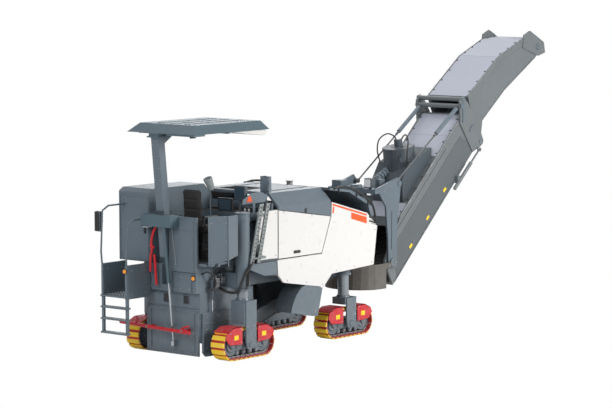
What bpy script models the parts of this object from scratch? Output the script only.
"""A compact cold planer on four tracks: milling drum between the rear tracks, conveyor at the front.

Machine frame while modelling, in metres: X forward from the rear track centres, Y left from the
centreline, Z up from the ground. At the end a datum empty carries everything, so that the middle
of the whole machine's footprint stands on the world's origin.
"""
import math

import bmesh
import bpy
from mathutils import Matrix, Vector

# ---------------------------------------------------------------- clearances
FIT = 0.0003            # touching pieces
SLIDE_FIT = 0.0006      # rods and columns in their bores
RUN = 0.006             # pieces that move past each other

# ---------------------------------------------------------------- tracks
TRACK_LENGTH = 1.335
TRACK_WIDTH = 0.297
TRACK_HEIGHT = 0.547
IDLER_DROP = 0.05       # how much lower the idler end of the loop is
BELT = 0.048            # chain and shoe plate
SHOE = 0.027            # pad standing on the plate
SHOES = 26
SHOE_SHARE = 0.72       # pad length over pitch
REAR_X = 0.0
REAR_Y = 0.99
FRONT_X = 2.974
FRONT_Y = 0.77

# ---------------------------------------------------------------- lifting columns
COLUMN_R = 0.10
TUBE_WALL = 0.022
FORK_GAP = 0.0165       # shoe edge to fork plate
FORK_PLATE = 0.03
FORK_HALF = 0.13
PIVOT_Z = 0.25
GUARD_TIP = 0.0475      # a red cover's end back from the end of the track
GUARD_ROOT = 0.20       # a red cover's other end out from the column
YOKE_BOTTOM = 0.60

# name, x, y, yoke top, tube bottom, tube top, column top
CORNERS = (
    ("rear_left", REAR_X, REAR_Y, 1.00, 1.16, 2.47, 2.20),
    ("rear_right", REAR_X, -REAR_Y, 1.00, 1.16, 2.47, 2.20),
    ("front_left", FRONT_X, FRONT_Y, 0.72, 1.12, 2.02, 1.85),
    ("front_right", FRONT_X, -FRONT_Y, 0.72, 1.12, 2.02, 1.85),
)

RACK_ROOM = 0.016       # between the rear right tube and the rack of treads
RACK_T = 0.03

# ---------------------------------------------------------------- drum and its housing
DRUM_Z = 0.575
DRUM_R = 0.49           # over the picks
DRUM_BODY_R = 0.415
DRUM_HALF = 0.55
DRUM_ROWS = 14
HOUSING_HALF = 0.61
HOUSING_REAR = -0.66
HOUSING_FRONT = 0.70
HOUSING_WALL = 0.03
HOUSING_BOTTOM = 0.30
SIDE_PLATE = 0.03
SIDE_PLATE_BOTTOM = 0.05
SCRAPER_TOP = 0.86
SCRAPER_PLATE = 0.03
ROD_LEAN = 0.107        # the scraper's rod leans back by this much for each metre of height

# ---------------------------------------------------------------- body
FRAME_REAR = -0.75
FRAME_FRONT = 3.55
FRAME_HALF = 0.60
BLOCK_BOTTOM = 1.14
BLOCK_TOP = 1.60
PANEL_Y = 1.05
PANEL_T = 0.04
HOOD_REAR = 0.88
HOOD_FRONT = 2.30
HOOD_SHOULDER = 2.47
HOOD_RIDGE = 2.74
SEAM_FALL = 0.156       # the seam under the lid falls by this much for each metre forward
SEAM = 0.02
SHELL = 0.04

# ---------------------------------------------------------------- platform and canopy
FLOOR_Z = 1.62
FLOOR_T = 0.04
GUARD_TOP = 2.44
GUARD_T = 0.04
GUARD_LEFT = -0.03      # the canopy post goes down beside the guard's left edge
POST_X = -0.80
POST_Y = 0.08
POST_LENGTH_X = 0.15
POST_WIDTH_Y = 0.17
POST_LEAN = 0.10
POST_FOOT = 1.72
CANOPY_DROP = 0.45
POST_ROOM = 0.02
ROOF_Z = 3.85
ROOF_T = 0.15
ROOF_REAR = -1.04
ROOF_FRONT = 0.90
ROOF_RIGHT = -0.83
ROOF_LEFT = 0.70

# ---------------------------------------------------------------- conveyors
SLEW_X = 4.30
SLEW_Z = 2.25
LUFF_X = 4.70
LUFF_Z = 1.15
FOLD_X = 7.46
FOLD_Z = 3.22
CONVEYOR_HALF = 0.50
CASING = 0.045
LOWER_DEPTH = 0.70      # from the lower conveyor's underside to the inside of its cover
STAY_Y = 0.445
CROSS_TUBE_R = 0.045
STAY_FOOT = (4.90, 2.60)
STAY_HEAD = (6.84, 3.93)

COLOURS = {
    # name: (red, green, blue), roughness, metallic
    "slate": ((0.100, 0.135, 0.165), 0.45, 0.1),
    "dark_slate": ((0.055, 0.075, 0.092), 0.5, 0.1),
    "canopy_blue": ((0.075, 0.115, 0.140), 0.5, 0.0),
    "conveyor_grey": ((0.135, 0.155, 0.165), 0.5, 0.1),
    "white": ((0.82, 0.81, 0.79), 0.35, 0.0),
    "red": ((0.55, 0.015, 0.02), 0.4, 0.0),
    "yellow": ((0.90, 0.62, 0.01), 0.5, 0.0),
    "rubber": ((0.02, 0.02, 0.02), 0.8, 0.0),
    "chrome": ((0.75, 0.76, 0.78), 0.15, 1.0),
    "steel": ((0.30, 0.31, 0.32), 0.45, 0.9),
    "seat_black": ((0.025, 0.022, 0.02), 0.7, 0.0),
    "engine_grey": ((0.16, 0.17, 0.18), 0.6, 0.3),
}


# ---------------------------------------------------------------- shared tools
def empty_scene():
    """Removes whatever objects the file opened with."""
    for obj in list(bpy.data.objects):
        bpy.data.objects.remove(obj, do_unlink=True)


def collection(name, hidden=False):
    """A collection under the scene's own."""
    made = bpy.data.collections.new(name)
    made.hide_render = hidden
    bpy.context.scene.collection.children.link(made)
    return made


def material(name):
    """A Principled material in one of the machine's colours."""
    if name in bpy.data.materials:
        return bpy.data.materials[name]
    colour, roughness, metallic = COLOURS[name]
    made = bpy.data.materials.new(name)
    made.use_nodes = True
    shader = made.node_tree.nodes["Principled BSDF"]
    shader.inputs["Base Color"].default_value = (*colour, 1.0)
    shader.inputs["Roughness"].default_value = roughness
    shader.inputs["Metallic"].default_value = metallic
    return made


def from_bmesh(shape):
    """An object in the scene that holds a bmesh's shape."""
    mesh = bpy.data.meshes.new("solid")
    bmesh.ops.recalc_face_normals(shape, faces=shape.faces)
    shape.to_mesh(mesh)
    shape.free()
    obj = bpy.data.objects.new("solid", mesh)
    bpy.context.scene.collection.objects.link(obj)
    return obj


def box(low, high):
    """A block between two corners."""
    low = Vector(low)
    high = Vector(high)
    shape = bmesh.new()
    size = high - low
    place = Matrix.Translation((low + high) / 2) @ Matrix.Diagonal((*size, 1.0))
    bmesh.ops.create_cube(shape, size=1.0, matrix=place)
    return from_bmesh(shape)


def rod(start, end, radius, sides=16, end_radius=None):
    """A round bar, or a cone, from one point to another."""
    start = Vector(start)
    end = Vector(end)
    shape = bmesh.new()
    turn = (end - start).to_track_quat("Z", "Y").to_matrix().to_4x4()
    place = Matrix.Translation((start + end) / 2) @ turn
    bmesh.ops.create_cone(
        shape, cap_ends=True, segments=sides, radius1=radius,
        radius2=radius if end_radius is None else end_radius,
        depth=(end - start).length, matrix=place,
    )
    return from_bmesh(shape)


# how a flat outline's own X and Y lie in the machine frame
PLANES = {
    "XY": Matrix.Identity(4),
    "XZ": Matrix(((1, 0, 0, 0), (0, 0, -1, 0), (0, 1, 0, 0), (0, 0, 0, 1))),
    "YZ": Matrix(((0, 0, 1, 0), (1, 0, 0, 0), (0, 1, 0, 0), (0, 0, 0, 1))),
}
NORMALS = {"XY": (0, 0, 1), "XZ": (0, 1, 0), "YZ": (1, 0, 0)}


def baked(obj):
    """The object's evaluated shape as a welded mesh object, in place of it."""
    graph = bpy.context.evaluated_depsgraph_get()
    mesh = bpy.data.meshes.new_from_object(obj.evaluated_get(graph))
    mesh.transform(obj.matrix_world)
    bpy.data.objects.remove(obj, do_unlink=True)
    shape = bmesh.new()
    shape.from_mesh(mesh)
    bpy.data.meshes.remove(mesh)
    bmesh.ops.remove_doubles(shape, verts=shape.verts, dist=1e-5)
    return from_bmesh(shape)


def plate(plane, outlines, low, high):
    """One or more flat outlines, the inner ones being holes, given a thickness from low to high."""
    curve = bpy.data.curves.new("outline", "CURVE")
    curve.dimensions = "2D"
    curve.fill_mode = "BOTH"
    curve.extrude = (high - low) / 2
    for outline in outlines:
        spline = curve.splines.new("POLY")
        spline.points.add(len(outline) - 1)
        spline.use_cyclic_u = True
        for point, (across, up) in zip(spline.points, outline):
            point.co = (across, up, 0, 1)
    obj = bpy.data.objects.new("outline", curve)
    bpy.context.scene.collection.objects.link(obj)
    middle = (low + high) / 2
    obj.matrix_world = Matrix.Translation(Vector(NORMALS[plane]) * middle) @ PLANES[plane]
    bpy.context.view_layer.update()
    return baked(obj)


def pipe(points, radius, resolution=1, closed=False):
    """A bent pipe through some points."""
    curve = bpy.data.curves.new("pipe", "CURVE")
    curve.dimensions = "3D"
    curve.bevel_depth = radius
    curve.bevel_resolution = resolution
    curve.use_fill_caps = True
    spline = curve.splines.new("POLY")
    spline.points.add(len(points) - 1)
    spline.use_cyclic_u = closed
    for point, place in zip(spline.points, points):
        point.co = (*place, 1)
    obj = bpy.data.objects.new("pipe", curve)
    bpy.context.scene.collection.objects.link(obj)
    bpy.context.view_layer.update()
    return baked(obj)


def combine(solids, operation):
    """The first solid joined with, or cut by, the others."""
    base = solids[0]
    for other in solids[1:]:
        step = base.modifiers.new("combine", "BOOLEAN")
        step.operation = operation
        step.solver = "EXACT"
        step.object = other
    bpy.context.view_layer.update()
    result = baked(base)
    for other in solids[1:]:
        bpy.data.objects.remove(other, do_unlink=True)
    return result


def joined(*solids):
    """One body of solids that run into each other."""
    return combine(list(solids), "UNION")


def cut(base, *cutters):
    """A solid with others taken out of it."""
    return combine([base, *cutters], "DIFFERENCE")


def piece(name, finish, solid, origin=(0, 0, 0), smooth=None):
    """Names a finished solid, gives it its finish, and puts its origin where it turns or slides."""
    home = bpy.data.collections["cold_planer"]
    bpy.context.scene.collection.objects.unlink(solid)
    home.objects.link(solid)
    solid.name = name
    solid.data.name = name
    solid.data.transform(Matrix.Translation(-Vector(origin)))
    solid.location = origin
    solid.data.materials.clear()
    solid.data.materials.append(material(finish))
    if smooth:
        solid.data.shade_smooth()
        solid.data.set_sharp_from_angle(angle=math.radians(smooth))
    return solid


def side_of(y):
    """Plus one on the left, minus one on the right."""
    return 1 if y > 0 else -1


def span(first, second):
    """Two values in rising order."""
    return min(first, second), max(first, second)


def across(first, second, x_low, x_high, z_low, z_high):
    """A block given by any two values of y."""
    low, high = span(first, second)
    return box((x_low, low, z_low), (x_high, high, z_high))


# ---------------------------------------------------------------- track units
def belt_path(inset, samples=10):
    """Points and outward directions round the track, inset from its outside, from the rear top on."""
    rear_r = TRACK_HEIGHT / 2
    idler_r = (TRACK_HEIGHT - IDLER_DROP) / 2
    rear_x = rear_r - TRACK_LENGTH / 2
    idler_x = TRACK_LENGTH / 2 - idler_r
    tilt = math.asin((rear_r - idler_r) / (idler_x - rear_x))
    # the upper run leans down to the idler, and the lower run lies on the ground
    ends = (
        (rear_x, rear_r, rear_r, -math.pi / 2, -math.pi - math.pi / 2 + tilt * 2),
        (idler_x, idler_r, idler_r, math.pi / 2 - tilt * 2, -math.pi / 2),
    )
    path = []
    for x, z, radius, start, stop in ends:
        for step in range(samples + 1):
            angle = start + (stop - start) * step / samples
            outward = Vector((math.cos(angle), math.sin(angle)))
            path.append((Vector((x, z)) + outward * (radius - inset), outward))
    return path


def walk(path, share):
    """The point and outward direction at a share of the way round a closed path."""
    loop = path + path[:1]
    lengths = [(b[0] - a[0]).length for a, b in zip(loop, loop[1:])]
    left = share * sum(lengths)
    for length, (a, b) in zip(lengths, zip(loop, loop[1:])):
        if left <= length:
            part = left / length if length else 0
            return a[0].lerp(b[0], part), a[1].lerp(b[1], part).normalized()
        left -= length
    return loop[0]


def track_outline():
    """The outside of the track, stepping out at each shoe."""
    path = belt_path(SHOE)
    outline = []
    for shoe in range(SHOES):
        for share, height in ((0.0, 0.0), (0.06, SHOE), (SHOE_SHARE, SHOE), (SHOE_SHARE + 0.06, 0.0)):
            point, outward = walk(path, (shoe + share) / SHOES)
            outline.append(tuple(point + outward * height))
    return outline


def track_loop(x, y):
    """The closed loop of shoes, at a corner of the machine."""
    inner = [tuple(point) for point, _ in belt_path(SHOE + BELT)]
    outlines = [[(x + u, v) for u, v in line] for line in (track_outline(), inner)]
    return plate("XZ", outlines, y - TRACK_WIDTH / 2, y + TRACK_WIDTH / 2)


def guard(x, y, outer, front):
    """A red cover over one end of the track's upper run, with its outer skirt."""
    way = 1 if front else -1
    skirt_in = outer * (TRACK_WIDTH / 2 + RUN)
    skirt_out = skirt_in + outer * 0.012
    drop = IDLER_DROP if front else 0.0
    top = TRACK_HEIGHT + 0.028 - drop * 0.4
    tip = TRACK_LENGTH / 2 - GUARD_TIP
    root = GUARD_ROOT
    outline = (
        (tip, 0.40), (tip - 0.10, 0.29), (root, 0.27), (root, top), (tip - 0.20, top), (tip - 0.05, top - 0.07),
    )
    low, high = span(y + skirt_in, y + skirt_out)
    skirt = plate("XZ", [[(x + way * u, v) for u, v in outline]], low, high)
    lid_line = ((root, top), (tip - 0.20, top), (tip - 0.05, top - 0.07), (tip - 0.05, top - 0.082),
                (tip - 0.20, top - 0.012), (root, top - 0.012))
    low, high = span(y - outer * TRACK_WIDTH / 2, y + skirt_out)
    lid = plate("XZ", [[(x + way * u, v) for u, v in lid_line]], low, high)
    stub_x = x + way * 0.26
    stub = rod((stub_x, y, 0.31), (stub_x, y + skirt_in + outer * 0.006, 0.31), 0.028, 10)
    return skirt, lid, stub


def track_frame(x, y, yoke_top):
    """Sprocket, idler and rollers on their beam, with the fork that holds it and the red covers."""
    outer = side_of(y)
    inset = SHOE + BELT
    rear_r = TRACK_HEIGHT / 2
    idler_r = (TRACK_HEIGHT - IDLER_DROP) / 2
    sprocket_x = x + rear_r - TRACK_LENGTH / 2
    idler_x = x + TRACK_LENGTH / 2 - idler_r
    half = 0.075
    loose = 0.005
    solids = [
        box((sprocket_x, y - 0.10, 0.17), (idler_x, y + 0.10, 0.345)),
        rod((sprocket_x, y - half, rear_r), (sprocket_x, y + half, rear_r), rear_r - inset - loose, 20),
        rod((idler_x, y - half, idler_r), (idler_x, y + half, idler_r), idler_r - inset - loose, 20),
    ]
    for roller in range(4):
        roller_x = x - 0.24 + roller * 0.165
        roller_z = inset + FIT + 0.055
        solids.append(rod((roller_x, y - 0.07, roller_z), (roller_x, y + 0.07, roller_z), 0.055, 12))
    fork_in = outer * (TRACK_WIDTH / 2 + FORK_GAP)
    fork_out = fork_in + outer * FORK_PLATE
    fork = (
        (-FORK_HALF * 0.75, PIVOT_Z - 0.07), (FORK_HALF * 0.75, PIVOT_Z - 0.07), (FORK_HALF, PIVOT_Z + 0.06),
        (FORK_HALF, yoke_top), (-FORK_HALF, yoke_top), (-FORK_HALF, PIVOT_Z + 0.06),
    )
    low, high = span(y + fork_in, y + fork_out)
    solids.append(plate("XZ", [[(x + u, v) for u, v in fork]], low, high))
    solids.append(rod((x, y, PIVOT_Z), (x, y + fork_out + outer * 0.012, PIVOT_Z), 0.055, 16))
    solids.append(across(y - outer * 0.12, y + fork_in + outer * 0.01, x - 0.16, x + 0.16, YOKE_BOTTOM, yoke_top))
    for front in (False, True):
        solids.extend(guard(x, y, outer, front))
    return joined(*solids)


def track_units():
    """The four lifting columns with their track units."""
    for name, x, y, yoke_top, _, _, column_top in CORNERS:
        foot = (x, y, yoke_top)
        bar = rod((x, y, yoke_top + FIT), (x, y, column_top), COLUMN_R, 24)
        piece(f"column_{name}", "chrome", bar, foot, 40)
        piece(f"track_frame_{name}", "slate", track_frame(x, y, yoke_top), foot)
        piece(f"track_{name}", "yellow", track_loop(x, y), foot)


# ---------------------------------------------------------------- frame and drum
def main_frame():
    """The welded frame: rear block, two long rails, deck, front beam, and the four column tubes."""
    rail_in = 0.50
    rail_out = 0.62
    solids = [
        box((FRAME_REAR, -FRAME_HALF, BLOCK_BOTTOM), (0.42, FRAME_HALF, BLOCK_TOP)),
        box((0.30, rail_in, 1.16), (FRAME_FRONT, rail_out, 1.50)),
        box((0.30, -rail_out, 1.16), (FRAME_FRONT, -rail_in, 1.50)),
        box((0.35, -rail_in - 0.01, 1.42), (2.20, rail_in + 0.01, 1.49)),
        box((FRONT_X - 0.14, -FRONT_Y, 1.60), (FRONT_X + 0.14, FRONT_Y, 1.80)),
    ]
    for _, x, y, _, bottom, top, _ in CORNERS:
        solids.append(rod((x, y, bottom), (x, y, top), COLUMN_R + SLIDE_FIT + TUBE_WALL, 24))
        low, high = span(side_of(y) * 0.55, y)
        solids.append(box((x - 0.11, low, 1.20), (x + 0.11, high, 1.46)))
    for side in (-1, 1):
        solids.append(across(side * 0.53, side * 0.60, FRONT_X - 0.12, FRONT_X + 0.12, 1.45, 1.65))
    for side in (-1, 1):
        sill = ((0.14, 1.59), (0.82, 1.59), (0.82, 1.36), (0.50, 1.36), (0.14, 1.50))
        solids.append(plate("XZ", [sill], *span(side * (PANEL_Y - PANEL_T), side * PANEL_Y)))
        solids.append(across(side * 0.60, side * (PANEL_Y - 0.02), 0.45, 0.75, 1.40, 1.48))
    frame = joined(*solids)
    bores = [
        rod((x, y, bottom - 0.05), (x, y, column_top + 0.14), COLUMN_R + SLIDE_FIT, 24)
        for _, x, y, _, bottom, _, column_top in CORNERS
    ]
    post_room = box(
        (FRAME_REAR - 0.1, POST_Y - POST_WIDTH_Y / 2 - POST_ROOM, POST_FOOT - CANOPY_DROP - POST_ROOM),
        (FRAME_REAR + 0.17, POST_Y + POST_WIDTH_Y / 2 + POST_ROOM, BLOCK_TOP + 0.1),
    )
    return cut(frame, *bores, post_room)


def drum_housing():
    """The box over the drum: open below, with a mouth in front for the conveyor, and hubs inside."""
    top = BLOCK_BOTTOM - FIT
    shell = box((HOUSING_REAR, -HOUSING_HALF, HOUSING_BOTTOM), (HOUSING_FRONT, HOUSING_HALF, top))
    wall = HOUSING_WALL
    room = box(
        (HOUSING_REAR + wall, -HOUSING_HALF + wall, HOUSING_BOTTOM - 0.1),
        (HOUSING_FRONT - wall, HOUSING_HALF - wall, top - wall),
    )
    mouth = box((HOUSING_FRONT - 0.1, -0.40, HOUSING_BOTTOM - 0.1), (HOUSING_FRONT + 0.1, 0.40, 0.86))
    solids = [cut(shell, room, mouth)]
    for side in (-1, 1):
        solids.append(
            rod((0, side * (DRUM_HALF + FIT), DRUM_Z), (0, side * (HOUSING_HALF - 0.01), DRUM_Z), 0.16, 20)
        )
    return joined(*solids)


def milling_drum():
    """The drum with its rows of picks."""
    solids = [rod((0, -DRUM_HALF, DRUM_Z), (0, DRUM_HALF, DRUM_Z), DRUM_BODY_R, 28)]
    half = DRUM_HALF / DRUM_ROWS
    for row in range(DRUM_ROWS):
        y = -DRUM_HALF + half * (2 * row + 1)
        for start in (0.0, math.pi):
            swing = start + row * math.pi * 2 / 5
            holder = [
                (DRUM_BODY_R - 0.05, -0.07), (DRUM_R, -0.005), (DRUM_R - 0.004, 0.035), (DRUM_BODY_R - 0.05, 0.06),
            ]
            line = [
                (u * math.cos(swing) - v * math.sin(swing), DRUM_Z + u * math.sin(swing) + v * math.cos(swing))
                for u, v in holder
            ]
            solids.append(plate("XZ", [line], y - half * 0.62, y + half * 0.62))
    return joined(*solids)


def side_plate(side):
    """A sliding edge plate beside the drum, with its skid."""
    inner = side * (HOUSING_HALF + FIT)
    outer = inner + side * SIDE_PLATE
    outline = (
        (-0.62, 0.12), (-0.55, SIDE_PLATE_BOTTOM), (0.55, SIDE_PLATE_BOTTOM), (0.64, 0.12), (0.64, 0.70),
        (0.50, 0.80), (-0.62, 0.80),
    )
    low, high = span(inner, outer)
    sheet = plate("XZ", [outline], low, high)
    skid = across(inner, outer + side * 0.012, -0.50, 0.50, SIDE_PLATE_BOTTOM, 0.11)
    return joined(sheet, skid)


def scraper():
    """The plate that closes the housing behind the drum, with its lugs."""
    front = HOUSING_REAR - FIT
    rear = front - SCRAPER_PLATE
    sheet = box((rear, -0.60, 0.06), (front, 0.60, SCRAPER_TOP))
    lug = box((rear - 0.035, -0.125, 0.20), (rear + 0.01, -0.055, 0.30))
    return joined(sheet, lug)


def scraper_bar():
    """The red towing and lifting bar across the scraper."""
    bar = pipe([(-0.87, 1.06, 0.535), (-0.87, 0.30, 0.51), (-0.87, -0.56, 0.485)], 0.033, 1)
    reach = HOUSING_REAR - SCRAPER_PLATE - 2 * FIT
    feet = [box((-0.87, y - 0.02, 0.47), (reach, y + 0.02, 0.53)) for y in (0.42, -0.40)]
    horn = pipe([(-0.87, -0.30, 0.49), (-0.84, -0.42, 0.57), (-0.82, -0.50, 0.59)], 0.018, 1)
    hook = pipe([(-0.87, 0.72, 0.53), (-0.86, 0.66, 0.60), (-0.85, 0.70, 0.66)], 0.018, 1)
    return joined(bar, *feet, horn, hook)


def lean(z, x_at, z_at):
    """X on the scraper rod's leaning line at a height."""
    return x_at - ROD_LEAN * (z - z_at)


def scraper_lift():
    """The chrome rod of the scraper's lifting cylinder."""
    foot = HOUSING_REAR - SCRAPER_PLATE - 2 * FIT - 0.0737
    y = -0.09
    bar = rod((lean(0.26, foot, 0.25), y, 0.26), (lean(1.85, foot, 0.25), y, 1.85), 0.018, 12)
    eye = box((foot - 0.03, y - 0.03, 0.21), (foot + 0.0374, y + 0.03, 0.29))
    return joined(bar, eye)


# ---------------------------------------------------------------- body panels
def side_panel(side):
    """The fixed white side panel, in one sheet around the hood's flank."""
    outline = (
        (0.36, 1.64), (0.36, 2.47), (0.85, 2.47), (0.85, 1.60), (2.045, 1.60), (2.305, 2.24), (2.32, 2.49),
        (3.31, 2.22), (3.60, 1.96), (3.50, 1.27), (2.32, 1.22), (2.09, 1.01), (1.01, 1.19), (0.86, 1.34),
        (0.845, 1.60), (0.70, 1.64),
    )
    inner = side * (PANEL_Y - PANEL_T)
    low, high = span(inner, side * PANEL_Y)
    sheet = plate("XZ", [outline], low, high)
    brackets = [
        across(side * (0.62 + FIT), side * (PANEL_Y - PANEL_T / 2), x - 0.05, x + 0.05, 1.28, 1.40)
        for x in (1.15, 3.30)
    ]
    hinge_in = side * (PANEL_Y - PANEL_T - 0.04)
    rail = plate(
        "XZ", [((0.80, 2.36), (0.80, 2.45), (2.37, 2.21), (2.37, 2.12))],
        *span(hinge_in, side * (PANEL_Y - PANEL_T - FIT)),
    )
    lugs = [
        across(hinge_in, side * (PANEL_Y - 0.02), x, x + 0.045, z, z + 0.05)
        for x, z in ((0.80, 2.385), (2.325, 2.15))
    ]
    return joined(sheet, rail, *lugs, *brackets)


def lower_tank(side):
    """The tapering tank that hangs below the side panel."""
    arc = [
        (1.82 - 0.62 * math.cos(turn), 0.53 + 0.62 * math.sin(turn))
        for turn in (math.radians(10 * step) for step in range(1, 8))
    ]
    outline = [(1.93, 0.51), (1.80, 0.52), *arc, (2.06, 1.00)]
    outline = [(u, min(v, 1.19 - (u - 1.01) / 6 - 0.004)) for u, v in outline]
    low, high = span(side * (FRAME_HALF + 0.06), side * (PANEL_Y - 0.002))
    tank = plate("XZ", [outline], low, high)
    neck = across(side * (0.62 + FIT), side * (PANEL_Y - PANEL_T - 0.02), 1.55, 1.85, 0.95, 1.22)
    return joined(tank, neck)


def lid_line(x, drop=0.0):
    """Height of the seam between the engine lid and the side doors."""
    return HOOD_SHOULDER - (x - HOOD_REAR) * SEAM_FALL - drop


def engine_lid():
    """The hinged lid over the engine: ridge plate and shoulders, with its flanks cut along the seam."""
    low = 2.0
    outer = (
        (-PANEL_Y, low), (-PANEL_Y, HOOD_SHOULDER + 0.05), (-0.82, HOOD_RIDGE), (0.82, HOOD_RIDGE),
        (PANEL_Y, HOOD_SHOULDER + 0.05), (PANEL_Y, low),
    )
    inner = (
        (PANEL_Y - SHELL, low), (PANEL_Y - SHELL, HOOD_SHOULDER + 0.02), (0.80, HOOD_RIDGE - SHELL),
        (-0.80, HOOD_RIDGE - SHELL), (-PANEL_Y + SHELL, HOOD_SHOULDER + 0.02), (-PANEL_Y + SHELL, low),
    )
    front = HOOD_FRONT - 0.012
    shell = plate("YZ", [outer + inner], HOOD_REAR, front)
    trim = ((0.5, 1.5), (0.5, lid_line(0.5)), (3.0, lid_line(3.0)), (3.0, 1.5))
    lugs = [
        box((front - 0.01, y - 0.10, HOOD_RIDGE - 0.034), (HOOD_FRONT + 0.01 - FIT, y + 0.10, HOOD_RIDGE - 0.004))
        for y in (-0.5, 0.5)
    ]
    return joined(cut(shell, plate("XZ", [trim], -1.5, 1.5)), *lugs)


def door_edge(z, gap=0.0):
    """X of the sloping seam in front of the side door."""
    return 2.045 + (z - 1.60) * 0.406 - gap


def side_door(side):
    """The white engine door in the flank, hinged along its top edge."""
    bottom = 1.62
    front = door_edge(2.23, SEAM)
    outline = (
        (0.875, bottom), (door_edge(bottom, SEAM), bottom), (front, lid_line(front, 0.012)),
        (0.875, lid_line(0.875, 0.012)),
    )
    return plate("XZ", [outline], *span(side * (PANEL_Y - PANEL_T), side * PANEL_Y))


def front_cowl():
    """The fixed cowl in front of the hood, over the cooler, closed by its nose."""
    line = ((HOOD_FRONT + 0.01, HOOD_RIDGE), (2.90, 2.66), (3.42, 2.40), (3.58, 2.00), (3.49, 1.52))
    inner = [(x - SHELL * 0.9, z - SHELL) for x, z in reversed(line[1:-1])]
    outline = [*line, (line[-1][0] - SHELL, line[-1][1]), *inner, (line[0][0], line[0][1] - SHELL)]
    half = PANEL_Y - PANEL_T - FIT
    window = box((3.30, -0.27, 1.40), (3.80, 0.27, 2.24))
    return cut(plate("XZ", [outline], -half, half), window)


def left_compartment():
    """The tall compartment at the rear left, with a pocket for the column tube."""
    outline = (
        (-0.80, 1.61), (-0.80, 2.80), (-0.70, 2.86), (0.60, 2.86), (0.84, 2.60), (0.84, 1.64), (0.34, 1.64),
        (0.34, 1.61),
    )
    body = plate("XZ", [outline], 0.425, 1.136)
    panel_room = box((0.33, PANEL_Y - PANEL_T - FIT, 1.5), (0.9, 1.3, 3.0))
    pocket = rod((REAR_X, REAR_Y, 1.5), (REAR_X, REAR_Y, 2.47 + FIT), COLUMN_R + TUBE_WALL + 0.006, 24)
    rail_room = box((0.79, PANEL_Y - PANEL_T - 0.045, 2.0), (0.9, 1.3, 3.0))
    return cut(body, pocket, panel_room, rail_room)


def platform():
    """The operator's floor, the recess for the canopy post and the front console wall."""
    floor = box((-0.745, -0.84, FLOOR_Z), (0.84, 0.4247, FLOOR_Z + FLOOR_T))
    feet = box((-0.60, -0.55, BLOCK_TOP + FIT), (0.30, 0.40, FLOOR_Z + 0.01))
    recess_cut = box((-0.9, -0.05, FLOOR_Z - 0.1), (-0.55, 0.5, FLOOR_Z + 0.2))
    recess = box((-0.56, -0.06, FLOOR_Z - 0.01), (-0.52, 0.42, GUARD_TOP))
    wall = box((0.80, -0.96, FLOOR_Z), (0.84, 0.4247, 2.58))
    dash = box((0.45, -0.80, 2.30), (0.82, 0.40, 2.42))
    head = box((0.80, -0.90, 2.76), (0.86, -0.70, 3.04))
    stalk = box((0.812, -0.83, 2.47), (0.832, -0.81, 2.80))
    return joined(cut(floor, recess_cut), feet, recess, wall, dash, head, stalk)


def rear_guard():
    """The rear wall of the platform."""
    front = FRAME_REAR - FIT
    return box((front - GUARD_T, -0.66, 1.50), (front, GUARD_LEFT, GUARD_TOP))


def corner_panel():
    """The bevelled panel at the rear right corner."""
    line = ((-0.745, -0.88), (-0.46, -1.10), (-0.24, -1.10), (-0.24, -1.075), (-0.45, -1.075), (-0.72, -0.86))
    sheet = plate("XY", [line], 1.58, 2.47)
    low = plate("XZ", [((-0.9, 1.4), (-0.9, 1.60), (-0.2, 1.80), (-0.2, 1.4))], -1.2, -0.7)
    arm = across(-0.8403, -0.90, -0.70, -0.62, FLOOR_Z, FLOOR_Z + FLOOR_T)
    arm_top = across(-0.845, -1.08, -0.50, -0.44, 1.74, 1.80)
    post = box((-0.50, -0.88, 1.6), (-0.44, -0.8403, 1.80))
    return joined(cut(sheet, low), arm, arm_top, post)


def seat():
    """The operator's seat on its pedestal."""
    base = box((-0.32, -0.36, FLOOR_Z + FLOOR_T + FIT), (-0.02, -0.06, 2.10))
    cushion = box((-0.38, -0.44, 2.09), (0.09, 0.02, 2.22))
    back = plate("XZ", [((-0.44, 2.10), (-0.33, 2.10), (-0.37, 2.92), (-0.48, 2.92))], -0.44, 0.02)
    return joined(base, cushion, back)


def console():
    """The control console beside the seat with its screen."""
    desk = box((0.12, -0.80, 2.20), (0.4497, -0.52, 2.36))
    leg = box((0.20, -0.72, FLOOR_Z + FLOOR_T + FIT), (0.32, -0.60, 2.21))
    arm = pipe([(0.25, -0.70, 2.30), (0.25, -0.74, 2.62), (0.22, -0.78, 2.72)], 0.02, 1)
    screen = box((0.17, -0.90, 2.68), (0.24, -0.66, 2.92))
    return joined(desk, leg, arm, screen)


# ---------------------------------------------------------------- canopy
def post_x(z):
    """X of the leaning post's middle at a height."""
    return POST_X - POST_LEAN * (z - 2.36)


def post_bar(half_x, half_y, low, high):
    """A leaning square bar on the post's line."""
    outline = (
        (post_x(low) - half_x, low), (post_x(low) + half_x, low), (post_x(high) + half_x, high),
        (post_x(high) - half_x, high),
    )
    return plate("XZ", [outline], POST_Y - half_y, POST_Y + half_y)


def canopy_post():
    """The single post that carries the canopy."""
    bar = post_bar(POST_LENGTH_X / 2, POST_WIDTH_Y / 2, POST_FOOT, ROOF_Z - FIT)
    brace = plate(
        "XZ", [((-0.90, 3.60), (-0.90, ROOF_Z - FIT), (-0.50, ROOF_Z - FIT))], POST_Y - 0.03, POST_Y + 0.03
    )
    return joined(bar, brace)


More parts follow.
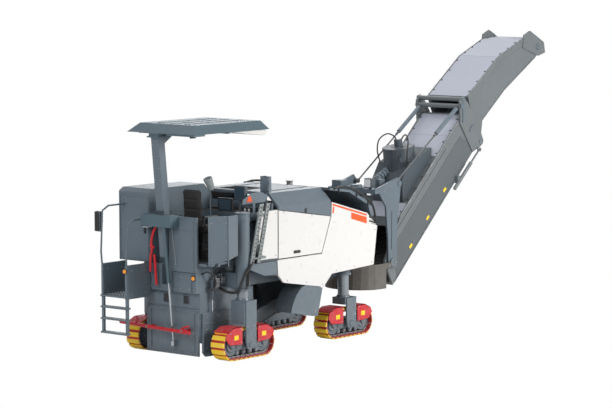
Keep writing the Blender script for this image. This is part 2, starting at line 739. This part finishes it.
def canopy_roof():
    """The canopy: a shallow tray whose edges slope up to a smaller top."""
    shape = bmesh.new()
    bmesh.ops.create_cube(shape, size=1.0)
    middle = Vector(((ROOF_REAR + ROOF_FRONT) / 2, (ROOF_LEFT + ROOF_RIGHT) / 2, ROOF_Z + ROOF_T / 2))
    size = Vector((ROOF_FRONT - ROOF_REAR, ROOF_LEFT - ROOF_RIGHT, ROOF_T))
    for vertex in shape.verts:
        top = vertex.co.z > 0
        inset = Vector((0.20 if vertex.co.x < 0 else 0.10, 0.12, 0)) if top else Vector((0, 0, 0))
        for axis in range(2):
            reach = size[axis] / 2 - inset[axis]
            vertex.co[axis] = middle[axis] + math.copysign(reach, vertex.co[axis])
        vertex.co.z = middle.z + vertex.co.z * size.z
    roof = from_bmesh(shape)
    skirts = [
        box((ROOF_REAR + 0.02, ROOF_RIGHT + 0.01, ROOF_Z - 0.03), (ROOF_REAR + 0.30, ROOF_RIGHT + 0.05, ROOF_Z + 0.01)),
        box((ROOF_REAR + 0.02, ROOF_RIGHT + 0.01, ROOF_Z - 0.03), (ROOF_REAR + 0.05, -0.20, ROOF_Z + 0.01)),
    ]
    return joined(roof, *skirts)


def canopy_bracket():
    """The bracket box that guides the post, with the scraper cylinder's barrel below it."""
    block = box((-1.02, -0.26, 2.26), (-0.66, 0.4247, 2.46))
    foot = HOUSING_REAR - SCRAPER_PLATE - 2 * FIT - 0.0737
    barrel = rod((lean(1.30, foot, 0.25), -0.09, 1.30), (lean(2.30, foot, 0.25), -0.09, 2.30), 0.030, 16)
    guard_room = box((FRAME_REAR - GUARD_T - 2 * FIT, -0.5, 2.2), (-0.5, GUARD_LEFT + FIT, 2.5))
    half = SLIDE_FIT
    hole = post_bar(POST_LENGTH_X / 2 + half, POST_WIDTH_Y / 2 + half, 2.2, 2.5)
    bore = rod(
        (lean(1.2, foot, 0.25), -0.09, 1.2), (lean(2.24, foot, 0.25), -0.09, 2.24), 0.018 + SLIDE_FIT, 12
    )
    return cut(joined(block, barrel), hole, bore, guard_room)


# ---------------------------------------------------------------- access and mirrors
def rear_ladder():
    """The boarding ladder at the rear left with its landing and handrails."""
    left = 1.00
    right = 0.44
    x = -1.34
    solids = []
    for y in (left, right):
        solids.append(box((x - 0.02, y - 0.025, 0.40), (x + 0.02, y + 0.025, 1.35)))
        solids.append(box((x - 0.03, y - 0.022, 1.02), (-0.8003, y + 0.022, 1.60)))
    for z in (0.42, 0.66, 0.86):
        solids.append(box((x - 0.06, right - 0.02, z - 0.014), (x + 0.06, left + 0.02, z + 0.014)))
    solids.append(box((x - 0.06, right - 0.02, 1.04), (-0.78, left + 0.02, 1.07)))
    solids.append(box((-0.80, right, 1.05), (-0.7503, 0.60, 1.58)))
    rails = (
        [(x, left, 1.30), (x - 0.02, left + 0.03, 1.80), (x + 0.02, left + 0.03, 2.50), (x + 0.14, left, 2.58),
         (-0.8003, left, 2.58)],
        [(x, right, 1.30), (x - 0.02, right, 1.80), (x + 0.04, right, 2.30), (x + 0.18, right + 0.02, 2.36),
         (-0.8003, right + 0.02, 2.36)],
    )
    solids.extend(pipe(rail, 0.017, 1) for rail in rails)
    solids.append(box((-1.35, left + 0.06, 2.14), (-1.29, 1.19, 2.48)))
    solids.append(box((-1.335, left + 0.02, 2.30), (-1.315, left + 0.10, 2.33)))
    return joined(*solids)


def right_rack():
    """The narrow rack of perforated treads at the right side."""
    y = -(REAR_Y + COLUMN_R + TUBE_WALL + RACK_ROOM + RACK_T)
    outline = ((0.02, 1.62), (0.10, 1.62), (0.36, 2.62), (0.28, 2.62))
    sheets = [plate("XZ", [[(u + dx, v) for u, v in outline]], y, y + RACK_T) for dx in (0.0, 0.17)]
    bars = [
        box((0.02 + 0.26 * (z - 1.62), y + 0.004, z - 0.012), (0.26 + 0.26 * (z - 1.62), y + 0.026, z + 0.012))
        for z in (1.70, 1.95, 2.20, 2.45)
    ]
    stays = [
        box((0.40, y + 0.02, 2.40), (0.46, -PANEL_Y - FIT, 2.45)),
        box((0.20, y + 0.02, 1.68), (0.44, y + 0.028, 1.72)),
        box((0.40, y + 0.02, 1.68), (0.44, -PANEL_Y - FIT, 1.72)),
        box((0.24, y + 0.022, 2.40), (0.44, y + 0.03, 2.45)),
    ]
    return joined(*sheets, *bars, *stays)


# ---------------------------------------------------------------- conveyors
def along(start, end, share, off=0.0):
    """A point on a line in the XZ plane, and how far to the left of it."""
    run = Vector(end) - Vector(start)
    side = Vector((-run.y, run.x)).normalized()
    return Vector(start) + run * share + side * off


def primary_conveyor():
    """The feeding conveyor from the drum up to the slewing axis."""
    start = (HOUSING_FRONT + 0.05, 0.44)
    end = (4.12, 1.46)
    deep = 0.13
    outline = [
        tuple(along(start, end, 0, -deep)), tuple(along(start, end, 1, -deep)), tuple(along(start, end, 1, deep)),
        tuple(along(start, end, 0, deep)),
    ]
    trough = plate("XZ", [outline], -0.42, 0.42)
    hangers = [
        across(side * 0.38, side * (0.50 - FIT), x - 0.05, x + 0.05, z, 1.30)
        for side in (-1, 1) for x, z in ((1.9, 0.85), (3.40, 1.20))
    ]
    return joined(trough, *hangers)


def gantry():
    """The fixed nose arm that carries the slewing hub."""
    arm = plate("XZ", [((3.30, 1.90), (3.30, 2.10), (4.12, 2.40), (4.46, 2.40), (4.46, 2.22), (4.12, 2.22))],
                -0.26, 0.26)
    hub = rod((SLEW_X, 0, 2.10), (SLEW_X, 0, 2.44), 0.20, 24)
    legs = [
        plate("XZ", [((3.26, 1.52), (3.42, 1.52), (3.48, 2.05), (3.30, 2.05))], *span(side * 0.20, side * 0.25))
        for side in (-1, 1)
    ]
    foot = box((3.24, -FRAME_HALF, 1.50 + FIT), (3.44, FRAME_HALF, 1.56))
    return joined(arm, hub, *legs, foot)


def slew_frame():
    """The turning frame: crown over the hub and two side plates down to the luffing pins."""
    crown = rod((SLEW_X, 0, 2.44 + FIT), (SLEW_X, 0, 2.56), 0.24, 24)
    beam = box((SLEW_X - 0.14, -0.56, 2.46), (SLEW_X + 0.14, 0.56, 2.54))
    plates = []
    outline = (
        (4.30, 2.46), (4.18, 2.46), (4.18, 2.54), (4.72, 2.68), (4.86, 2.72), (4.95, 2.62), (4.84, 1.90),
        (4.82, 1.05), (4.58, 1.05), (4.56, 1.60), (4.50, 2.20),
    )
    for side in (-1, 1):
        low, high = span(side * (CONVEYOR_HALF + 0.0075), side * (CONVEYOR_HALF + 0.045))
        plates.append(plate("XZ", [outline], low, high))
        low, high = span(side * (CONVEYOR_HALF + FIT), side * (CONVEYOR_HALF + 0.05))
        plates.append(rod((LUFF_X, low, LUFF_Z), (LUFF_X, high, LUFF_Z), 0.07, 16))
    return joined(crown, beam, *plates)


LOWER_OUTLINE = ((4.76, 0.72), (4.52, 1.18), (4.97, 1.95), (6.93, 3.78), (7.36, 3.16))
UPPER_OUTLINE = (
    (7.50, 3.24), (7.14, 3.94), (7.10, 4.10), (8.10, 4.82), (8.84, 5.12), (9.30, 5.16), (9.50, 4.92),
    (9.30, 4.76), (8.28, 4.17), (7.56, 3.62),
)


UPPER_TUNNEL = (
    (7.00, 3.25), (7.56, 3.69), (8.25, 4.235), (9.24, 4.80), (9.80, 5.06), (9.80, 5.12), (9.28, 5.10),
    (8.85, 5.06), (8.12, 4.765), (6.90, 3.89),
)


def belt_tunnel(outline, half):
    """The space inside a conveyor's casing, open at both ends."""
    return plate("XZ", [outline], -half, half)


def lower_conveyor():
    """The lower discharge conveyor with the cross tubes and fold plates at its head."""
    base = LOWER_OUTLINE[0], LOWER_OUTLINE[-1]
    tunnel = [
        tuple(along(*base, share, off))
        for share, off in ((-0.3, CASING), (1.3, CASING), (1.3, LOWER_DEPTH), (-0.3, LOWER_DEPTH))
    ]
    body = cut(
        plate("XZ", [LOWER_OUTLINE], -CONVEYOR_HALF, CONVEYOR_HALF),
        belt_tunnel(tunnel, CONVEYOR_HALF - CASING),
    )
    half = CONVEYOR_HALF + 0.035
    solids = [body]
    solids += [rod((x, -half, z), (x, half, z), CROSS_TUBE_R, 12) for x, z in ((6.88, 4.06), STAY_HEAD)]
    ears = ((6.80, 3.60), (6.78, 4.02), (6.90, 4.12), (7.04, 3.98), (7.46, 3.40), (7.54, 3.24), (7.46, 3.14),
            (7.20, 3.04))
    for side in (-1, 1):
        low, high = span(side * (CONVEYOR_HALF - 0.005), side * (CONVEYOR_HALF + 0.03))
        solids.append(plate("XZ", [ears], low, high))
        solids.extend(fold_barrel(side))
    return cut(joined(*solids), fold_bore(-1), fold_bore(1))


def upper_conveyor():
    """The folding upper part of the discharge conveyor."""
    half = CONVEYOR_HALF - RUN * 2
    body = cut(plate("XZ", [UPPER_OUTLINE], -half, half), belt_tunnel(UPPER_TUNNEL, half - CASING))
    hood_line = ((8.86, 4.98), (8.90, 5.22), (9.10, 5.30), (9.58, 5.06), (9.62, 4.86), (9.40, 4.80))
    ears = [
        plate("XZ", [hood_line], *span(side * (half - 0.006), side * (half + 0.02)))
        for side in (-1, 1)
    ]
    bosses = [
        rod((FOLD_X, side * (half - 0.02), FOLD_Z), (FOLD_X, side * (CONVEYOR_HALF - 0.005 - FIT), FOLD_Z), 0.055, 16)
        for side in (-1, 1)
    ]
    return joined(body, *ears, *bosses)


def dust_housing():
    """The dust extraction fan housing and its duct on the lower conveyor."""
    low = along(LOWER_OUTLINE[2], LOWER_OUTLINE[3], 0.14, FIT)
    high = along(LOWER_OUTLINE[2], LOWER_OUTLINE[3], 0.58, FIT)
    outline = [tuple(low), (5.22, 2.62), (5.42, 2.92), (6.12, 3.18), tuple(high)]
    shell = plate("XZ", [outline], -0.36, 0.36)
    drum = rod((5.62, 0, 2.80), (5.56, 0, 3.22), 0.30, 24)
    motor = rod((5.57, 0, 3.20), (5.55, 0, 3.36), 0.08, 16)
    return joined(shell, drum, motor)


def stay_line(distance):
    """The point at a distance up the stay from its foot."""
    foot = Vector(STAY_FOOT)
    way = (Vector(STAY_HEAD) - foot).normalized()
    return foot + way * distance


STAY_LENGTH = (Vector(STAY_HEAD) - Vector(STAY_FOOT)).length
STAY_ROOM = 0.030       # between a barrel and the cross tube above it


def stay_rod(side):
    """The cable and rod of a stay, pinned to the slewing frame."""
    y = side * STAY_Y
    a = stay_line(0.0)
    b = stay_line(1.42)
    c = stay_line(2.20)
    eye = rod((a.x, y - side * 0.02, a.y), (a.x, side * (CONVEYOR_HALF + 0.0075 - FIT), a.y), 0.045, 12)
    cable = rod((a.x, y, a.y), (b.x + 0.001, y, b.y), 0.016, 10)
    shaft = rod((b.x, y, b.y), (c.x, y, c.y), 0.024, 12)
    return joined(eye, cable, shaft)


def stay_cylinder(side):
    """The barrel of a stay, which slides on the rod up to the cross tubes."""
    y = side * STAY_Y
    a = stay_line(1.50)
    b = stay_line(STAY_LENGTH - CROSS_TUBE_R - STAY_ROOM)
    c = stay_line(2.32)
    start = stay_line(1.40)
    barrel = rod((a.x, y, a.y), (b.x, y, b.y), 0.040, 16)
    bore = rod((start.x, y, start.y), (c.x, y, c.y), 0.024 + SLIDE_FIT, 12)
    return cut(barrel, bore)


FOLD_FOOT = (6.56, 2.38)
FOLD_EYE = (7.34, 3.08)
FOLD_Y = CONVEYOR_HALF + 0.075


def fold_barrel(side):
    """The barrel of a fold cylinder with its lug, before its bore is cut."""
    y = side * FOLD_Y
    a = along(FOLD_FOOT, FOLD_EYE, 0.0)
    b = along(FOLD_FOOT, FOLD_EYE, 0.66)
    return (
        rod((a.x, y, a.y), (b.x, y, b.y), 0.036, 14),
        across(side * (CONVEYOR_HALF - 0.01), y, 6.66, 6.74, 2.48, 2.62),
    )


def fold_bore(side):
    """What is cut out of a fold barrel for its rod."""
    y = side * FOLD_Y
    a = along(FOLD_FOOT, FOLD_EYE, 0.06)
    b = along(FOLD_FOOT, FOLD_EYE, 0.72)
    return rod((a.x, y, a.y), (b.x, y, b.y), 0.020 + SLIDE_FIT, 12)


def fold_rod(side):
    """The rod of a fold cylinder, with its eye."""
    y = side * FOLD_Y
    a = along(FOLD_FOOT, FOLD_EYE, 0.10)
    b = along(FOLD_FOOT, FOLD_EYE, 1.0)
    eye = rod((b.x, y - 0.022, b.y), (b.x, y + 0.022, b.y), 0.040, 14)
    return joined(rod((a.x, y, a.y), (b.x, y, b.y), 0.020, 12), eye)


def hopper():
    """The receiving trough under the head of the primary conveyor."""
    arc = [
        (SLEW_X - 0.02 + 0.52 * math.cos(turn), 0.60 * math.sin(turn))
        for turn in (math.radians(90 + 15 * step) for step in range(13))
    ]
    outline = [*arc, (4.44, -0.60), (4.44, 0.60)]
    shell = plate("XY", [outline], 0.70, 1.16)
    room = plate("XY", [[(4.24 + (x - 4.24) * 0.93, y * 0.95) for x, y in outline]], 0.73, 1.3)
    plate_out = CONVEYOR_HALF + 0.045
    ears = [
        across(side * (plate_out + FIT), side * (plate_out + 0.03), 4.40, 4.62, 1.06, 1.16)
        for side in (-1, 1)
    ]
    return joined(cut(shell, room), *ears)


def build():
    """Makes every piece."""
    track_units()
    piece("main_frame", "slate", main_frame())
    piece("drum_housing", "slate", drum_housing())
    drum_axis = (0, 0, DRUM_Z)
    piece("milling_drum", "steel", milling_drum(), drum_axis)
    for name, side in (("left", 1), ("right", -1)):
        piece(f"side_plate_{name}", "slate", side_plate(side), (0, side * HOUSING_HALF, 0.4))
        piece(f"side_panel_{name}", "white", side_panel(side))
        piece(f"lower_tank_{name}", "slate", lower_tank(side))
        piece(f"side_door_{name}", "white", side_door(side), (HOOD_REAR, side * PANEL_Y, lid_line(HOOD_REAR, 0.012)))
        foot = (STAY_FOOT[0], side * STAY_Y, STAY_FOOT[1])
        piece(f"stay_rod_{name}", "chrome", stay_rod(side), foot)
        piece(f"stay_cylinder_{name}", "slate", stay_cylinder(side), foot)
        piece(f"fold_rod_{name}", "chrome", fold_rod(side), (FOLD_FOOT[0], side * FOLD_Y, FOLD_FOOT[1]))
    piece("scraper_blade", "slate", scraper(), (HOUSING_REAR, 0, 0.4))
    piece("scraper_bar", "red", scraper_bar(), (HOUSING_REAR, 0, 0.4))
    piece("scraper_rod", "chrome", scraper_lift(), (HOUSING_REAR, 0, 0.4))
    piece("engine", "engine_grey", box((1.05, -0.46, 1.4903), (2.15, 0.46, 2.45)))
    piece("engine_lid", "slate", engine_lid(), (HOOD_FRONT, 0, HOOD_RIDGE))
    piece("front_cowl", "slate", front_cowl())
    piece("left_compartment", "slate", left_compartment())
    piece("platform", "slate", platform())
    piece("rear_guard", "slate", rear_guard())
    piece("corner_panel", "slate", corner_panel())
    piece("operator_seat", "seat_black", seat())
    piece("control_console", "dark_slate", console())
    post_foot = (POST_X, POST_Y, 2.36)
    piece("canopy_post", "slate", canopy_post(), post_foot)
    piece("canopy_roof", "canopy_blue", canopy_roof(), post_foot)
    piece("canopy_bracket", "canopy_blue", canopy_bracket())
    piece("rear_ladder", "slate", rear_ladder())
    piece("right_rack", "steel", right_rack())
    piece("primary_conveyor", "dark_slate", primary_conveyor())
    piece("conveyor_gantry", "slate", gantry())
    piece("slew_frame", "slate", slew_frame(), (SLEW_X, 0, SLEW_Z))
    piece("lower_conveyor", "conveyor_grey", lower_conveyor(), (LUFF_X, 0, LUFF_Z))
    piece("dust_housing", "dark_slate", dust_housing(), (LUFF_X, 0, LUFF_Z))
    piece("upper_conveyor", "conveyor_grey", upper_conveyor(), (FOLD_X, 0, FOLD_Z))
    piece("transfer_hopper", "rubber", hopper(), (SLEW_X, 0, SLEW_Z))


def stand_on_origin():
    """Parents every piece to a datum that brings the middle of the footprint to the world's origin."""
    home = bpy.data.collections["cold_planer"]
    corners = [obj.location + Vector(corner) for obj in home.objects for corner in obj.bound_box]
    low = Vector([min(corner[axis] for corner in corners) for axis in range(3)])
    high = Vector([max(corner[axis] for corner in corners) for axis in range(3)])
    datum = bpy.data.objects.new("datum", None)
    home.objects.link(datum)
    datum.location = (-(low.x + high.x) / 2, -(low.y + high.y) / 2, -low.z)
    for obj in home.objects:
        if obj is not datum:
            obj.parent = datum
    bpy.context.view_layer.update()


empty_scene()
collection("cold_planer")
build()
stand_on_origin()
